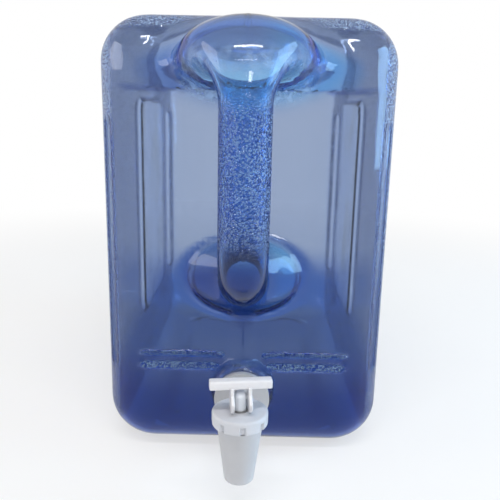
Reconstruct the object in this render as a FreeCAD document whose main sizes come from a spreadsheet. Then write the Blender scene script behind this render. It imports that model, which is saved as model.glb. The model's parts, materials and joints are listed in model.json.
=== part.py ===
import FreeCAD, Part
import math
import os
from types import SimpleNamespace
import Sketcher

doc = FreeCAD.newDocument("dispenser_bottle")
sheet = doc.addObject("Spreadsheet::Sheet", "Sizes")


class Size:
    # A length: its number, and the sheet expression that gives the same number.
    def __init__(self, number, text):
        self.number = number
        self.text = text

    def __add__(self, other):
        return joined(self, "+", other, number_of(self) + number_of(other))

    def __radd__(self, other):
        return joined(other, "+", self, number_of(other) + number_of(self))

    def __sub__(self, other):
        return joined(self, "-", other, number_of(self) - number_of(other))

    def __rsub__(self, other):
        return joined(other, "-", self, number_of(other) - number_of(self))

    def __mul__(self, other):
        return joined(self, "*", other, number_of(self) * number_of(other))

    def __rmul__(self, other):
        return joined(other, "*", self, number_of(other) * number_of(self))

    def __truediv__(self, other):
        return joined(self, "/", other, number_of(self) / number_of(other))

    def __neg__(self):
        return joined(0, "-", self, -self.number)


def number_of(value):
    return value.number if isinstance(value, Size) else value


def text_of(value):
    return value.text if isinstance(value, Size) else f"{value:g}"


def joined(first, sign, second, number):
    return Size(number, f"({text_of(first)} {sign} {text_of(second)})")


# Driving dimensions in millimetres, angles in degrees.
dimensions = dict(
    # the blown body
    body_width=156, body_depth=244, body_height=235.5,
    corner_radius=28, rim_radius=24, wall=1.8,
    # recessed panels in the two side walls, measured back from the front wall
    panel_start=112, panel_length=98, panel_bottom=44, panel_top=193,
    panel_depth=3, panel_slope=40, panel_round=9,
    # upright flutes in the four corners
    flute_radius=4.5, flute_depth=1.6, flute_angle=33, flute_bottom=50, flute_top=180,
    # level grooves in the front wall, left and right of the boss
    groove_radius=9, groove_depth=3.4, groove_height=57, groove_start=27, groove_end=46,
    # raised middle of the base
    base_rise=3, base_rim=34, base_slope=45,
    # upright hollow handle on the front wall
    handle_radius=11.75, handle_standoff=42, handle_bend=20,
    handle_top=219.5, handle_foot=108, grip_start=80,
    top_root_width=35, top_root_height=18.5, top_root_level=215.5,
    foot_root_width=31, foot_root_height=21.5, foot_root_level=104,
    # ridge from the handle down to the boss
    ridge_radius=8, ridge_sink=4, ridge_bottom=46, ridge_top=100,
    # round boss that takes the faucet
    boss_radius=16.5, boss_reach=10, boss_draft=2, boss_round=4, boss_hole=8.4,
    # filler neck and its screw cap
    neck_back=182, neck_radius=22.6, neck_bore=19.6, neck_height=13, neck_bead=26, bead_height=2,
    neck_hole=21,
    cap_radius=27, cap_bore=24.4, cap_top=2, cap_gap=0.6, cap_round=1.6,
    cap_rib_count=32, cap_rib_depth=0.8, cap_rib_width=2.2, liner_radius=23.6, liner_height=1.2,
    seat_gap=0.3,
    # faucet: levels are measured up from the shank's axis
    shank_height=40.5, faucet_reach=50,
    spout_end=-23, spout_end_radius=7, spout_round=1.6, barrel_radius=10.7, shoulder_level=5.6,
    collar_radius=9.9, collar_top=10.8, outlet_radius=4.8, seat_level=-8, chamber_radius=8.2,
    chamber_slope=1.6,
    neck_tube=6.2, flange_radius=14.5, flange_thickness=3, shank_radius=8, shank_bore=4.6,
    shank_end=4, washer_thickness=2, washer_radius=13.6, inner_washer_radius=12.2,
    nut_flats=22, nut_thickness=5.5, nut_play=0.15,
    # bonnet that closes the faucet's barrel
    bonnet_radius=13.2, bonnet_top=13.1, bonnet_bottom=6.4, bonnet_plate=2, bonnet_play=0.3,
    bonnet_round=1.4, lug_count=8, lug_gap=2.4, lug_depth=1.5, lug_height=4,
    # lever: a cross bar on two cam cheeks, turned a little to one side
    pin_level=19.6, pin_radius=1.2, pin_play=0.06, lever_turn=8,
    cam_throw=2.6, cam_gap=0.3, cheek_inner=3.3, cheek_thickness=1.7, cheek_half=2.6,
    bar_width=29, bar_height=5.5, bar_depth=6, bar_level=5.2, bar_round=0.9,
    # valve stem, its rubber cup and its spring
    stem_radius=3, stem_play=0.08, stem_dome=2.4, stem_pin_play=0.02, stem_foot=-5.8,
    cup_radius=7.2, cup_nose=4, cup_play=0.04, cup_bottom=-8, cup_top=-3.4,
    collar_disc=6.2, disc_height=1.2,
    spring_radius=5, spring_wire=0.45, spring_turns=5, spring_gap=0.1,
)
size = SimpleNamespace()
for row, (word, number) in enumerate(dimensions.items(), start=1):
    sheet.set(f"A{row}", word)
    sheet.set(f"B{row}", f"{number:g}")
    sheet.setAlias(f"B{row}", word)
    setattr(size, word, Size(number, f"Sizes.{word}"))
doc.recompute()

# The front faces -Y. The origin is under the middle of the whole part, on the standing plane.
overhang = size.faucet_reach + size.bonnet_radius
front = (overhang - size.body_depth) / 2
back = front + size.body_depth
faucet_place = {"y": front - size.faucet_reach, "z": size.shank_height}
across, upright, forward = (FreeCAD.Vector(*axis) for axis in ((1, 0, 0), (0, 0, 1), (0, 1, 0)))
quarter_turn = 90
full_turn = 360
spill = 4  # how far a cutting form runs out past the surface that it cuts
tiny = 1e-3  # lengths below this count as none when edges are picked


def bind(item, properties):
    for name, value in properties.items():
        item.setExpression(name, text_of(value))
    return item


def place(item, spot, turn=None):
    if turn:
        item.Placement = FreeCAD.Placement(FreeCAD.Vector(), FreeCAD.Rotation(*turn))
    return bind(item, {f"Placement.Base.{axis}": value for axis, value in spot.items()})


def primitive(kind, name, properties, spot, turn=None):
    item = doc.addObject(f"Part::{kind}", name)
    return place(bind(item, properties), spot, turn)


def fused(name, shapes):
    item = doc.addObject("Part::MultiFuse", name)
    item.Shapes = shapes
    return item


def cut(name, base, tool):
    item = doc.addObject("Part::Cut", name)
    item.Base = base
    item.Tool = tool
    return item


def new_body(name, spot=None, turn=None):
    body = doc.addObject("PartDesign::Body", name)
    return place(body, spot or {}, turn)


def sketch_on(body, name, role, shift=0):
    sketch = body.newObject("Sketcher::SketchObject", name)
    plane = next(item for item in body.Origin.OriginFeatures if item.Role == role)
    sketch.AttachmentSupport = [(plane, "")]
    sketch.MapMode = "FlatFace"
    return bind(sketch, {"AttachmentOffset.Base.z": shift})


def hold(sketch, geometry, end, corner):
    # Ties one end of a sketch line to its distances from the sketch's origin.
    for kind, axis, value in zip(("DistanceX", "DistanceY"), (-2, -1), corner):
        if number_of(value) == 0:
            sketch.addConstraint(Sketcher.Constraint("PointOnObject", geometry, end, axis))
        else:
            rule = Sketcher.Constraint(kind, -1, 1, geometry, end, number_of(value))
            sketch.setExpression(f"Constraints[{sketch.addConstraint(rule)}]", text_of(value))


def spot_of(corner):
    return FreeCAD.Vector(number_of(corner[0]), number_of(corner[1]), 0)


def outline(sketch, corners):
    # A closed run of straight lines.
    ends = corners[1:] + corners[:1]
    lines = [sketch.addGeometry(Part.LineSegment(spot_of(a), spot_of(b))) for a, b in zip(corners, ends)]
    for line, following, corner in zip(lines, lines[1:] + lines[:1], corners):
        sketch.addConstraint(Sketcher.Constraint("Coincident", line, 2, following, 1))
        hold(sketch, line, 1, corner)
    return sketch


def rectangle(low, high):
    return [low, (high[0], low[1]), high, (low[0], high[1])]


def circle(sketch, centre, radius):
    ring = sketch.addGeometry(Part.Circle(spot_of(centre), FreeCAD.Vector(0, 0, 1), number_of(radius)))
    centre_end = 3
    hold(sketch, ring, centre_end, centre)
    rule = sketch.addConstraint(Sketcher.Constraint("Radius", ring, number_of(radius)))
    sketch.setExpression(f"Constraints[{rule}]", text_of(radius))
    return sketch


def feature(body, kind, name, profile, properties, **settings):
    item = body.newObject(f"PartDesign::{kind}", name)
    item.Profile = profile
    for setting, value in settings.items():
        setattr(item, setting, value)
    return bind(item, properties)


def turned(body, kind, name, role, corners, axis):
    profile = outline(sketch_on(body, f"{name}_outline", role), corners)
    return feature(body, kind, name, profile, {}, ReferenceAxis=(profile, [axis]), Angle=full_turn)


def rounded(body, name, base, radius, chosen):
    # Rounds the edges of the last feature that the test picks.
    doc.recompute()
    edges = [f"Edge{i}" for i, edge in enumerate(base.Shape.Edges, start=1) if chosen(edge)]
    item = body.newObject("PartDesign::Fillet", name)
    item.Base = (base, edges)
    return bind(item, {"Radius": radius})


def is_level(edge):
    return edge.BoundBox.ZLength < tiny


def is_upright(edge):
    return edge.BoundBox.XLength + edge.BoundBox.YLength < tiny


def around(body, name, original, count):
    # Repeats a feature evenly round the body's upright axis.
    pattern = body.newObject("PartDesign::PolarPattern", name)
    pattern.Originals = [original]
    axis = next(item for item in body.Origin.OriginFeatures if item.Role == "Z_Axis")
    pattern.Axis = (axis, [""])
    pattern.Angle = full_turn
    bind(pattern, {"Occurrences": count})
    body.Tip = pattern
    return pattern


def capsule(name, direction, radius, start, length):
    # A round bar with ball ends along X or Z.
    turn = (forward, quarter_turn) if direction == "x" else None
    end = dict(start)
    end[direction] = start[direction] + length
    bar = primitive("Cylinder", f"{name}_bar", {"Radius": radius, "Height": length}, start, turn)
    balls = [
        primitive("Sphere", f"{name}_{word}", {"Radius": radius}, centre)
        for word, centre in (("start", start), ("end", end))
    ]
    return fused(name, [bar, *balls])


# Bottle: one form is built twice, as the outer skin and, inset by the wall, as the hollow.
# The shell is then parted into the body and the grip that stands on its front.


def block(name, inset):
    body = new_body(f"{name}_block")
    half = size.body_width / 2 - inset
    plan = sketch_on(body, f"{name}_plan", "XY_Plane", inset)
    outline(plan, rectangle((-half, front + inset), (half, back - inset)))
    pad = feature(body, "Pad", f"{name}_pad", plan, {"Length": size.body_height - 2 * inset})
    corners = rounded(body, f"{name}_corners", pad, size.corner_radius - inset, is_upright)
    rounded(body, f"{name}_rims", corners, size.rim_radius - inset, is_level)
    return body


def panel_cutter(name, inset):
    body = new_body(f"{name}_panel")
    floor = size.body_width / 2 - size.panel_depth - inset
    profile = sketch_on(body, f"{name}_panel_outline", "YZ_Plane", floor)
    low = (front + size.panel_start - inset / 2, size.panel_bottom - inset / 2)
    high = (front + size.panel_start + size.panel_length + inset / 2, size.panel_top + inset / 2)
    outline(profile, rectangle(low, high))
    pad = feature(
        body, "Pad", f"{name}_panel_pad", profile,
        {"Length": size.panel_depth + inset + spill, "TaperAngle": size.panel_slope},
    )
    rounded(body, f"{name}_panel_round", pad, size.panel_round, lambda edge: edge.BoundBox.XLength > tiny)
    mirrored = doc.addObject("Part::Mirroring", f"{name}_panel_left")
    mirrored.Source = body
    mirrored.Normal = across
    return [body, mirrored]


def base_cutter(name, inset):
    body = new_body(f"{name}_base")
    half = size.body_width / 2 - size.base_rim + inset / 2
    profile = sketch_on(body, f"{name}_base_outline", "XY_Plane", size.base_rise + inset)
    low = (-half, front + size.base_rim - inset / 2)
    outline(profile, rectangle(low, (half, back - size.base_rim + inset / 2)))
    feature(
        body, "Pad", f"{name}_base_pad", profile,
        {"Length": size.base_rise + inset + spill, "TaperAngle": size.base_slope}, Reversed=True,
    )
    return [body]


def flute_cutters(name, inset):
    # Each flute lies off the corner's own centre, towards the side wall.
    lift = size.corner_radius + size.flute_radius - size.flute_depth
    angle = math.radians(dimensions["flute_angle"])
    out = size.body_width / 2 - size.corner_radius + lift * math.cos(angle)
    in_from_wall = size.corner_radius - lift * math.sin(angle)
    bars = []
    for side, x in (("right", out), ("left", -out)):
        for end, y in (("front", front + in_from_wall), ("back", back - in_from_wall)):
            start = {"x": x, "y": y, "z": size.flute_bottom}
            length = size.flute_top - size.flute_bottom
            bars.append(capsule(f"{name}_flute_{end}_{side}", "z", size.flute_radius + inset, start, length))
    return bars


def groove_cutters(name, inset):
    length = size.groove_end - size.groove_start
    y = front - (size.groove_radius - size.groove_depth)
    starts = {"right": size.groove_start, "left": -size.groove_end}
    return [
        capsule(
            f"{name}_groove_{side}", "x", size.groove_radius + inset,
            {"x": x, "y": y, "z": size.groove_height}, length,
        )
        for side, x in starts.items()
    ]


# How far along the root each section lies, and how much of the root's spread it still has.
root_sections = ((-0.6, 1), (0, 1), (0.2, 0.94), (0.5, 0.55), (0.8, 0.12), (1, 0))


def handle_root(name, inset, half_width, half_height, root_level, tube_level):
    rings = []
    core = size.handle_radius - inset
    reach = size.handle_standoff - size.handle_bend
    for number, (station, share) in enumerate(root_sections):
        ring = doc.addObject("Part::Ellipse", f"{name}_ring_{number}")
        bind(ring, {
            "MajorRadius": core + share * (half_width - size.handle_radius),
            "MinorRadius": core + share * (half_height - size.handle_radius),
        })
        level = tube_level + share * (root_level - tube_level)
        place(ring, {"y": front - station * reach, "z": level}, (across, quarter_turn))
        rings.append(ring)
    root = doc.addObject("Part::Loft", name)
    root.Sections = rings
    root.Solid = True
    return root


def handle_path(body, name):
    # Round a bend, straight down and round a second bend, seen from the side.
    path = sketch_on(body, f"{name}_path", "YZ_Plane")
    outside = front - size.handle_standoff
    centre = outside + size.handle_bend
    high, low = size.handle_top - size.handle_bend, size.handle_foot + size.handle_bend
    first_end, last_end = 1, 2
    grip = path.addGeometry(Part.LineSegment(spot_of((outside, high)), spot_of((outside, low))))
    hold(path, grip, first_end, (outside, high))
    hold(path, grip, last_end, (outside, low))
    bends = (
        (high, math.pi / 2, first_end, last_end, size.handle_top),
        (low, math.pi, last_end, first_end, size.handle_foot),
    )
    for level, turn, grip_end, arc_end, free_level in bends:
        ring = Part.Circle(spot_of((centre, level)), FreeCAD.Vector(0, 0, 1), dimensions["handle_bend"])
        arc = path.addGeometry(Part.ArcOfCircle(ring, turn, turn + math.pi / 2))
        path.addConstraint(Sketcher.Constraint("Coincident", grip, grip_end, arc, arc_end))
        hold(path, arc, grip_end, (centre, free_level))
        rule = path.addConstraint(Sketcher.Constraint("Radius", arc, dimensions["handle_bend"]))
        path.setExpression(f"Constraints[{rule}]", size.handle_bend.text)
    return path


def handle_tube(name, inset):
    body = new_body(f"{name}_handle")
    path = handle_path(body, f"{name}_handle")
    start = front - (size.handle_standoff - size.handle_bend)
    ring = sketch_on(body, f"{name}_handle_ring", "XZ_Plane", -start)
    circle(ring, (0, size.handle_top), size.handle_radius - inset)
    pipe = body.newObject("PartDesign::AdditivePipe", f"{name}_handle_pipe")
    pipe.Profile = ring
    pipe.Spine = (path, [f"Edge{number}" for number in range(1, 4)])
    return body


def boss(name, inset):
    body = new_body(f"{name}_boss", {"y": front, "z": size.shank_height})
    reach = size.boss_reach - inset
    side = size.boss_radius - inset
    bevel = size.boss_round - inset
    step = bevel * (1 - math.sqrt(1 / 2))
    corners = [
        (size.rim_radius, 0), (size.rim_radius, side + size.boss_draft),
        (bevel - reach, side), (step - reach, side - step), (-reach, side - bevel), (-reach, 0),
    ]
    turned(body, "Revolution", f"{name}_boss_form", "YZ_Plane", corners, "H_Axis")
    return body


def ridge(name, inset):
    return primitive(
        "Cylinder", f"{name}_ridge",
        {"Radius": size.ridge_radius - inset, "Height": size.ridge_top - size.ridge_bottom},
        {"y": front + size.ridge_sink, "z": size.ridge_bottom},
    )


def bottle_form(name, inset):
    cutters = panel_cutter(name, inset) + base_cutter(name, inset)
    cutters += flute_cutters(name, inset) + groove_cutters(name, inset)
    pressed = cut(f"{name}_pressed", block(name, inset), fused(f"{name}_cutters", cutters))
    top_root = handle_root(
        f"{name}_top_root", inset, size.top_root_width, size.top_root_height,
        size.top_root_level, size.handle_top,
    )
    foot_root = handle_root(
        f"{name}_foot_root", inset, size.foot_root_width, size.foot_root_height,
        size.foot_root_level, size.handle_foot,
    )
    return [pressed, top_root, foot_root, handle_tube(name, inset), boss(name, inset), ridge(name, inset)]


def blown_shell():
    sink = size.rim_radius / 2
    mouth = primitive(
        "Cylinder", "neck_opening", {"Radius": size.neck_hole, "Height": sink + spill},
        {"y": front + size.neck_back, "z": size.body_height - sink},
    )
    faucet_hole = primitive(
        "Cylinder", "faucet_hole", {"Radius": size.boss_hole, "Height": size.boss_reach + spill},
        {"y": front, "z": size.shank_height}, (across, quarter_turn),
    )
    skin = fused("skin", bottle_form("skin", 0))
    hollow = fused("hollow", bottle_form("hollow", size.wall) + [mouth, faucet_hole])
    return cut("blown_shell", skin, hollow)


def bottle_and_grip():
    # What stands out in front of the front wall, above the boss, is the grip.
    shell = blown_shell()
    zone = primitive(
        "Box", "grip_zone",
        {"Length": size.body_width, "Width": 2 * size.handle_standoff, "Height": size.body_height},
        {"x": -size.body_width / 2, "y": front - 2 * size.handle_standoff, "z": size.grip_start},
    )
    grip = doc.addObject("Part::Common", "hand_grip")
    grip.Base = shell
    grip.Tool = zone
    return [cut("bottle_shell", shell, zone), grip]


# Filler neck, screw cap with gripping ribs, and the sealing disc inside it.
neck_top = size.body_height + size.neck_height
liner_bottom = neck_top + size.seat_gap
cap_bottom = size.body_height + size.bead_height + size.cap_gap
cap_inside = liner_bottom + size.liner_height
cap_place = {"y": front + size.neck_back}


def filler_neck():
    body = new_body("filler_neck", cap_place)
    bead_top = size.body_height + size.bead_height
    corners = [
        (size.neck_bore, size.body_height), (size.neck_bead, size.body_height), (size.neck_bead, bead_top),
        (size.neck_radius, bead_top), (size.neck_radius, neck_top), (size.neck_bore, neck_top),
    ]
    turned(body, "Revolution", "neck_form", "XZ_Plane", corners, "V_Axis")
    return body


def screw_cap():
    body = new_body("screw_cap", cap_place)
    top = cap_inside + size.cap_top
    corners = [
        (0, cap_inside), (size.cap_bore, cap_inside), (size.cap_bore, cap_bottom),
        (size.cap_radius, cap_bottom), (size.cap_radius, top), (0, top),
    ]
    shape = turned(body, "Revolution", "cap_form", "XZ_Plane", corners, "V_Axis")
    highest = number_of(top) - tiny
    rounded(body, "cap_round", shape, size.cap_round, lambda edge: edge.BoundBox.ZMin > highest)
    half = size.cap_rib_width / 2
    slot = sketch_on(body, "rib_gap_outline", "XY_Plane", cap_bottom)
    inner = size.cap_radius - size.cap_rib_depth
    outline(slot, rectangle((inner, -half), (size.cap_radius + spill, half)))
    height = top - cap_bottom - 2 * size.cap_round
    gap = feature(body, "Pocket", "rib_gap", slot, {"Length": height}, Reversed=True)
    around(body, "rib_gaps", gap, size.cap_rib_count)
    return body


def cap_liner():
    body = new_body("cap_liner", cap_place)
    corners = rectangle((0, liner_bottom), (size.liner_radius, cap_inside))
    turned(body, "Revolution", "liner_form", "XZ_Plane", corners, "V_Axis")
    return body


# Faucet body: tapered spout and barrel with the threaded shank behind it.
flange_back = size.faucet_reach - size.boss_reach - size.washer_thickness
shank_tip = size.faucet_reach + size.shank_end


def faucet_body():
    body = new_body("faucet_body", faucet_place)
    spout = [
        (0, size.spout_end), (size.spout_end_radius, size.spout_end),
        (size.barrel_radius, size.shoulder_level), (size.collar_radius, size.shoulder_level),
        (size.collar_radius, size.collar_top), (0, size.collar_top),
    ]
    barrel = turned(body, "Revolution", "barrel", "XZ_Plane", spout, "V_Axis")
    lowest = dimensions["spout_end"] + tiny
    rounded(body, "spout_round", barrel, size.spout_round, lambda edge: edge.BoundBox.ZMax < lowest)
    flange_front = flange_back - size.flange_thickness
    shank = [
        (0, 0), (0, size.neck_tube), (flange_front, size.neck_tube),
        (flange_front, size.flange_radius), (flange_back, size.flange_radius),
        (flange_back, size.shank_radius), (shank_tip, size.shank_radius), (shank_tip, 0),
    ]
    turned(body, "Revolution", "shank", "YZ_Plane", shank, "H_Axis")
    bore = [
        (0, size.spout_end - spill), (size.outlet_radius, size.spout_end - spill),
        (size.outlet_radius, size.seat_level), (size.chamber_radius, size.seat_level + size.chamber_slope),
        (size.chamber_radius, size.collar_top + spill), (0, size.collar_top + spill),
    ]
    turned(body, "Groove", "chamber", "XZ_Plane", bore, "V_Axis")
    passage = rectangle((0, 0), (shank_tip + spill, size.shank_bore))
    turned(body, "Groove", "passage", "YZ_Plane", passage, "H_Axis")
    return body


def ring_on_shank(name, start, thickness, outer, inner):
    body = new_body(name, faucet_place)
    corners = rectangle((start, inner), (start + thickness, outer))
    turned(body, "Revolution", f"{name}_form", "YZ_Plane", corners, "H_Axis")
    return body


def shank_nut(start):
    body = new_body("shank_nut", faucet_place)
    face = sketch_on(body, "nut_outline", "XZ_Plane", -(start + size.nut_thickness))
    side_count = 6
    step = 2 * math.pi / side_count
    corner = size.nut_flats / 2 / math.cos(step / 2)
    turns = [step * (number + 1 / 2) for number in range(side_count)]
    corners = [(corner * math.cos(turn), corner * math.sin(turn)) for turn in turns]
    outline(face, corners)
    circle(face, (0, 0), size.shank_radius + size.nut_play)
    feature(body, "Pad", "nut_form", face, {"Length": size.nut_thickness})
    return body


def bonnet():
    body = new_body("bonnet", faucet_place)
    skirt = size.collar_radius + size.bonnet_play
    hole = size.stem_radius + size.stem_play
    plate = size.bonnet_top - size.bonnet_plate
    corners = [
        (hole, plate), (skirt, plate), (skirt, size.bonnet_bottom),
        (size.bonnet_radius, size.bonnet_bottom), (size.bonnet_radius, size.bonnet_top),
        (hole, size.bonnet_top),
    ]
    shape = turned(body, "Revolution", "bonnet_form", "XZ_Plane", corners, "V_Axis")

    def is_top_rim(edge):
        box = edge.BoundBox
        return box.ZMin > dimensions["bonnet_top"] - tiny and box.XMax > dimensions["collar_radius"]

    rounded(body, "bonnet_round", shape, size.bonnet_round, is_top_rim)
    half = size.lug_gap / 2
    slot = sketch_on(body, "lug_gap_outline", "XY_Plane", size.bonnet_bottom)
    inner = size.bonnet_radius - size.lug_depth
    outline(slot, rectangle((inner, -half), (size.bonnet_radius + spill, half)))
    gap = feature(body, "Pocket", "lug_gap", slot, {"Length": size.lug_height}, Reversed=True)
    around(body, "lug_gaps", gap, size.lug_count)
    return body


# Lever, pin and valve stem, turned together about the barrel's axis.
lever_place = {"y": front - size.faucet_reach, "z": size.shank_height + size.pin_level}
lever_turn = (upright, dimensions["lever_turn"])


def lever():
    body = new_body("lever", lever_place, lever_turn)
    cam_radius = size.pin_level - size.bonnet_top - size.cam_gap
    hole = size.pin_radius + size.pin_play
    for side, shift in (("right", size.cheek_inner), ("left", -(size.cheek_inner + size.cheek_thickness))):
        cam = circle(sketch_on(body, f"cam_{side}", "YZ_Plane", shift), (-size.cam_throw, 0), cam_radius)
        feature(body, "Pad", f"cam_pad_{side}", cam, {"Length": size.cheek_thickness})
        leg = sketch_on(body, f"leg_{side}", "YZ_Plane", shift)
        low = (-size.cam_throw - size.cheek_half, 0)
        outline(leg, rectangle(low, (size.cheek_half, size.bar_level + size.bar_height / 2)))
        feature(body, "Pad", f"leg_pad_{side}", leg, {"Length": size.cheek_thickness})
    half = size.bar_depth / 2
    face = sketch_on(body, "bar_outline", "YZ_Plane", -size.bar_width / 2)
    low = (-half - size.cam_throw / 2, size.bar_level)
    outline(face, rectangle(low, (half - size.cam_throw / 2, size.bar_level + size.bar_height)))
    bar = feature(body, "Pad", "bar", face, {"Length": size.bar_width})
    reach = dimensions["bar_width"] / 2 - tiny

    def is_bar_edge(edge):
        return edge.BoundBox.XMax > reach or edge.BoundBox.XMin < -reach

    rounded(body, "bar_round", bar, size.bar_round, is_bar_edge)
    bore = circle(sketch_on(body, "pin_bore_outline", "YZ_Plane"), (0, 0), hole)
    feature(body, "Pocket", "pin_bore", bore, {}, Type="ThroughAll", Midplane=True)
    return body


def lever_pin():
    length = 2 * (size.cheek_inner + size.cheek_thickness)
    turn = FreeCAD.Rotation(*lever_turn).multiply(FreeCAD.Rotation(forward, quarter_turn))
    angle = math.radians(dimensions["lever_turn"])
    spot = {
        "x": -length / 2 * math.cos(angle),
        "y": lever_place["y"] - length / 2 * math.sin(angle),
        "z": lever_place["z"],
    }
    pin = primitive("Cylinder", "lever_pin", {"Radius": size.pin_radius, "Height": length}, {})
    pin.Placement = FreeCAD.Placement(FreeCAD.Vector(), turn)
    return place(pin, spot)


def valve_stem():
    body = new_body("valve_stem", lever_place, lever_turn)
    disc = size.cup_top - size.pin_level
    corners = [
        (0, size.stem_foot - size.pin_level), (size.stem_radius, size.stem_foot - size.pin_level),
        (size.stem_radius, disc), (size.collar_disc, disc),
        (size.collar_disc, disc + size.disc_height), (size.stem_radius, disc + size.disc_height),
        (size.stem_radius, size.stem_radius), (0, size.stem_radius),
    ]
    stem = turned(body, "Revolution", "stem_form", "XZ_Plane", corners, "V_Axis")
    top = dimensions["stem_radius"] - tiny
    rounded(body, "stem_dome", stem, size.stem_dome, lambda edge: edge.BoundBox.ZMin > top)
    bore_radius = size.pin_radius + size.stem_pin_play
    bore = circle(sketch_on(body, "stem_bore_outline", "YZ_Plane"), (0, 0), bore_radius)
    feature(body, "Pocket", "stem_bore", bore, {}, Type="ThroughAll", Midplane=True)
    return body


def seat_cup():
    body = new_body("seat_cup", faucet_place)
    # The underside slopes as the seat does, so that the closed cup stays just clear all round.
    socket = size.stem_radius + size.cup_play
    slope = size.chamber_slope / (size.chamber_radius - size.outlet_radius)
    edge = size.cup_bottom + slope * (size.cup_radius - size.cup_nose)
    corners = [
        (0, size.cup_bottom), (size.cup_nose, size.cup_bottom), (size.cup_radius, edge),
        (size.cup_radius, size.cup_top), (socket, size.cup_top), (socket, size.stem_foot),
        (0, size.stem_foot),
    ]
    turned(body, "Revolution", "cup_form", "XZ_Plane", corners, "V_Axis")
    return body


def return_spring():
    # One wire wound up from the stem's disc to the underside of the bonnet.
    wire = dimensions["spring_wire"]
    coil = dimensions["spring_radius"]
    turns = dimensions["spring_turns"]
    low = dimensions["cup_top"] + dimensions["disc_height"] + dimensions["spring_gap"] + wire
    high = dimensions["bonnet_top"] - dimensions["bonnet_plate"] - dimensions["spring_gap"] - wire
    halves = 2 * turns
    rise = (high - low) / halves

    def on_coil(half_turns):
        angle = math.pi * half_turns
        return FreeCAD.Vector(coil * math.cos(angle), coil * math.sin(angle), low + rise * half_turns)

    arcs = [Part.Arc(on_coil(i), on_coil(i + 0.5), on_coil(i + 1)).toShape() for i in range(halves)]
    path = Part.Wire(arcs)
    section = Part.Wire(Part.makeCircle(wire, on_coil(0), arcs[0].tangentAt(arcs[0].FirstParameter)))
    print("spring: gap between turns", round(2 * rise - 2 * wire, 2), "mm")
    item = doc.addObject("Part::Feature", "return_spring")
    item.Shape = path.makePipeShell([section], True, False)
    item.Placement = FreeCAD.Placement(
        FreeCAD.Vector(0, number_of(faucet_place["y"]), number_of(faucet_place["z"])), FreeCAD.Rotation()
    )
    return item


washer_start = flange_back
inner_washer_start = size.faucet_reach - size.boss_reach + size.wall
shank_fit = size.shank_radius + size.nut_play
nodes = [
    *bottle_and_grip(),
    filler_neck(),
    screw_cap(),
    cap_liner(),
    faucet_body(),
    ring_on_shank("outer_washer", washer_start, size.washer_thickness, size.washer_radius, shank_fit),
    ring_on_shank(
        "inner_washer", inner_washer_start, size.washer_thickness, size.inner_washer_radius, shank_fit
    ),
    shank_nut(inner_washer_start + size.washer_thickness),
    bonnet(),
    lever(),
    lever_pin(),
    valve_stem(),
    seat_cup(),
    return_spring(),
]
doc.recompute()

failed = [item.Name for item in doc.Objects if {"Invalid", "Error"} & set(item.State)]
failed += [node.Label for node in nodes if node.Shape.isNull() or not node.Shape.isValid()]
if failed:
    raise RuntimeError(f"these did not build: {failed}")
os.makedirs("parts", exist_ok=True)
for node in nodes:
    box = node.Shape.BoundBox
    print(
        node.Label, f"{node.Shape.Volume / 1000:.2f} cm3", len(node.Shape.Solids), "solid",
        f"x {box.XMin:.1f} {box.XMax:.1f} y {box.YMin:.1f} {box.YMax:.1f} z {box.ZMin:.1f} {box.ZMax:.1f}",
    )
    node.Shape.exportStep(f"parts/{node.Label}.step")
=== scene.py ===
import json
import math
import bmesh
import bpy
import numpy as np
from mathutils import Matrix, Vector


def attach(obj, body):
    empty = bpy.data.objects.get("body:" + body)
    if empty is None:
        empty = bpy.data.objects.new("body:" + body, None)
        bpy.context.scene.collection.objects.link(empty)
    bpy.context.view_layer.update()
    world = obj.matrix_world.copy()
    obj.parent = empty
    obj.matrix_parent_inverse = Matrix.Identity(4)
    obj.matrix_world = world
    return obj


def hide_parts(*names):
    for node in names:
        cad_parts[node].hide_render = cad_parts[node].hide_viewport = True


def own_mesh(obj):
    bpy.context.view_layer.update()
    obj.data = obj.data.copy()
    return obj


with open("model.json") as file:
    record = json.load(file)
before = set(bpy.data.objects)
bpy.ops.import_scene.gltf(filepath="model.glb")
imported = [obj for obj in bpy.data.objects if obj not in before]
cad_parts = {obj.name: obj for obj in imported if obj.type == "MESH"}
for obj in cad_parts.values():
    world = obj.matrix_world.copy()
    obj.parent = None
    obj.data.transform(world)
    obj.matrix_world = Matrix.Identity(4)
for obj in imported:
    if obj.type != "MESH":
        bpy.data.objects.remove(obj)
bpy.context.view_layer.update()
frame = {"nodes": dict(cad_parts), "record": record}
scene = bpy.context.scene
scene.view_settings.view_transform = "Standard"
mm = 0.001
tiny = 1e-9
fullTurn = 2 * math.pi


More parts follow.
